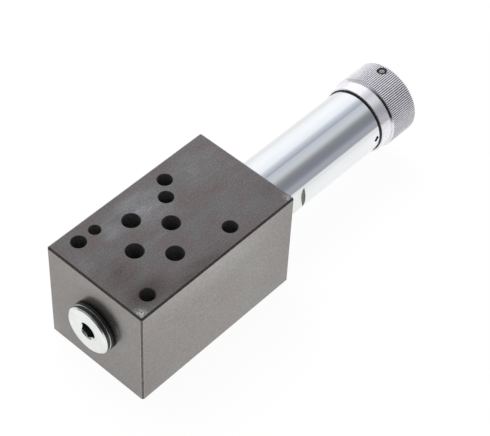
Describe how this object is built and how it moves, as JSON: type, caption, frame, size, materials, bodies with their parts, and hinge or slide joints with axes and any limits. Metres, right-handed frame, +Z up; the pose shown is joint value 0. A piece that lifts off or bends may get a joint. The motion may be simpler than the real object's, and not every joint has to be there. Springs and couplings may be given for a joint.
{
  "type": "hydraulic sandwich valve",
  "caption": "Sandwich relief valve: drilled steel block with a ported hole pattern, a plated spring sleeve and a knurled adjusting knob.",
  "frame": {"origin": "on the lower mounting face, midway between the two bolt holes nearest the knob", "axes": "+X along the bore towards the adjusting knob, +Z up out of the upper mounting face, +Y to the side of ports P and drain"},
  "size_m": [0.1593, 0.045, 0.045],
  "materials": {
    "dark_steel": "ground and phosphated, dark grey, satin",
    "plated_steel": "turned and bright zinc plated",
    "knob_aluminium": "turned, straight knurled and clear anodised",
    "black_rubber": "moulded nitrile rubber, satin",
    "blackened_steel": "black oxide",
    "ground_steel": "hardened and ground",
    "spring_steel": "oil tempered wire"
  },
  "bodies": {
    "root": {"valve_block": "dark_steel", "blanking_plug": "plated_steel", "blanking_plug_seal": "black_rubber", "cross_drilling_plug": "blackened_steel", "spring_housing": "plated_steel", "housing_seal": "black_rubber", "dust_seal": "black_rubber", "regulating_spring": "spring_steel", "port_seal_p": "black_rubber", "port_seal_t": "black_rubber", "port_seal_a": "black_rubber", "port_seal_b": "black_rubber", "drain_port_seal": "black_rubber"},
    "spool": {"control_spool": "ground_steel", "spring_seat": "ground_steel"},
    "piston": {"adjusting_piston": "ground_steel", "piston_seal": "black_rubber", "thrust_ball": "ground_steel"},
    "knob": {"adjusting_spindle": "ground_steel", "adjusting_knob": "knob_aluminium", "knob_set_screw": "blackened_steel"}
  },
  "joints": [
    {"name": "spool_slide", "type": "slide", "parent": "root", "child": "spool", "axis": [1, 0, 0], "range_m": [0, 0.0025], "stiffness_N_per_m": 300, "springref_m": -0.01, "deforming": ["regulating_spring"]},
    {"name": "piston_slide", "type": "slide", "parent": "root", "child": "piston", "axis": [-1, 0, 0], "range_m": [0, 0.006], "deforming": ["regulating_spring"]},
    {"name": "knob_turn", "type": "hinge", "parent": "piston", "child": "knob", "pos_m": [0.1, 0, 0.0225], "axis": [-1, 0, 0], "range_deg": [0, 2160]}
  ],
  "couplings": [
    {"joint": "knob_turn", "follows": "piston_slide", "rad_per_m": 6283.2}
  ]
}
